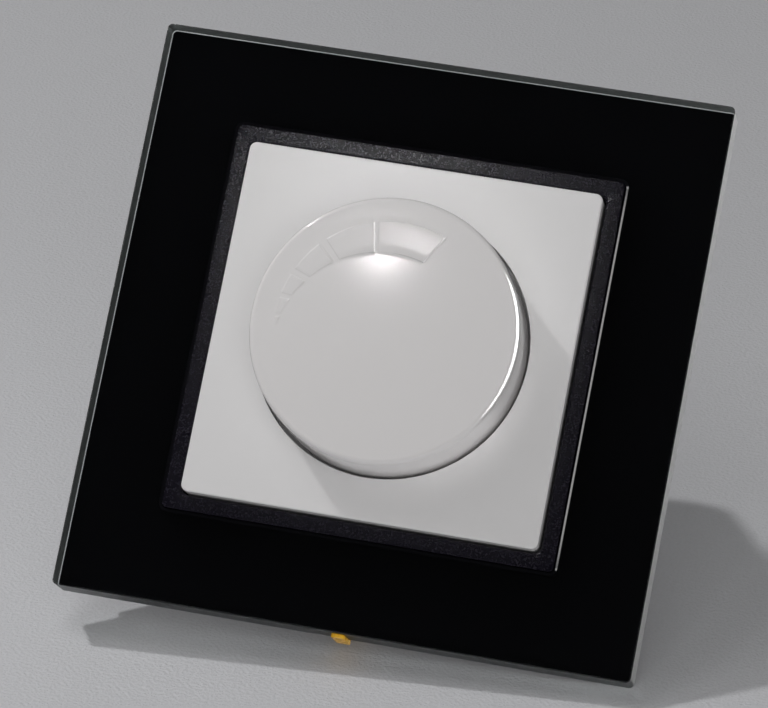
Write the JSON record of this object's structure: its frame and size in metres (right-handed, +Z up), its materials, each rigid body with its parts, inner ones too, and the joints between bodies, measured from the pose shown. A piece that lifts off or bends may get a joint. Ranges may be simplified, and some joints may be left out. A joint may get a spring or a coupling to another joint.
{
  "type": "rotary light dimmer with glass frame",
  "caption": "Flush rotary push dimmer: black glass cover frame, graphite surround, white centre plate and turn-and-push knob on a claw-mounted insert.",
  "frame": {"origin": "centre of the wall plane, midway between the two device-screw slots", "axes": "+Z up, -Y out of the wall towards the user, +X to the user's right"},
  "size_m": [0.089, 0.0449, 0.0897],
  "materials": {
    "black_glass": "clear glass, back painted black, polished edges",
    "foam_tape": "closed-cell foam",
    "black_plastic": "fine matt moulding",
    "amber_plastic": "translucent moulding",
    "graphite_plastic": "graphite lacquer with metallic fleck",
    "white_plastic": "satin gloss moulding",
    "white_gloss": "gloss moulding",
    "natural_plastic": "natural engineering plastic",
    "spring_steel": "drawn spring wire",
    "zinc_steel": "bright zinc plate",
    "grey_plastic": "fine spark texture",
    "board_laminate": "solder-resist green",
    "ferrite": "lacquered powder core",
    "copper_wire": "enamelled copper",
    "component_plastic": "moulded case",
    "aluminium": "mill finish",
    "terminal_plastic": "glass-filled moulding",
    "brass": "nickelled brass"
  },
  "bodies": {
    "insert": {"glass_panel": "black_glass", "adhesive_strips": "foam_tape", "carrier_frame": "black_plastic", "release_tab": "amber_plastic", "surround_ring": "graphite_plastic", "centre_plate": "white_plastic", "plate_nut": "natural_plastic", "potentiometer": "black_plastic", "push_switch": "black_plastic", "return_spring": "spring_steel", "mounting_plate": "zinc_steel", "claw_pins": "zinc_steel", "housing_cover": "grey_plastic", "housing_body": "grey_plastic", "housing_screws": "zinc_steel", "circuit_board": "board_laminate", "choke_core": "ferrite", "choke_winding": "copper_wire", "capacitor": "component_plastic", "heat_sink": "aluminium", "triac": "component_plastic", "fuse": "component_plastic", "terminal_block": "terminal_plastic", "terminal_cages": "brass", "terminal_screws": "zinc_steel"},
    "push_plunger": {"switch_plunger": "natural_plastic"},
    "knob_assembly": {"knob": "white_gloss", "knob_clip": "spring_steel", "control_shaft": "natural_plastic", "wiper_disc": "black_plastic"},
    "screw_left": {"claw_screw_left": "zinc_steel"},
    "screw_right": {"claw_screw_right": "zinc_steel"},
    "spreader_left": {"claw_left": "zinc_steel"},
    "spreader_right": {"claw_right": "zinc_steel"}
  },
  "joints": [
    {"name": "knob_push", "type": "slide", "parent": "insert", "child": "push_plunger", "axis": [0, 1, 0], "range_m": [0, 0.0015], "stiffness_N_per_m": 3000, "springref_m": -0.0005, "deforming": ["return_spring"]},
    {"name": "knob_turn", "type": "hinge", "parent": "push_plunger", "child": "knob_assembly", "pos_m": [0, 0, 0], "axis": [0, 1, 0], "range_deg": [0, 270]},
    {"name": "claw_screw_left_turn", "type": "hinge", "parent": "insert", "child": "screw_left", "pos_m": [-0.0235, 0, 0], "axis": [0, 1, 0], "range_deg": [0, 1260]},
    {"name": "claw_left_swing", "type": "hinge", "parent": "insert", "child": "spreader_left", "pos_m": [-0.0189, 0.003, 0], "axis": [0, 0, 1], "range_deg": [0, 25]},
    {"name": "claw_screw_right_turn", "type": "hinge", "parent": "insert", "child": "screw_right", "pos_m": [0.0235, 0, 0], "axis": [0, 1, 0], "range_deg": [0, 1260]},
    {"name": "claw_right_swing", "type": "hinge", "parent": "insert", "child": "spreader_right", "pos_m": [0.0189, 0.003, 0], "axis": [0, 0, -1], "range_deg": [0, 25]}
  ],
  "couplings": [
    {"joint": "claw_screw_left_turn", "follows": "claw_left_swing", "ratio": 50.4},
    {"joint": "claw_screw_right_turn", "follows": "claw_right_swing", "ratio": 50.4}
  ]
}
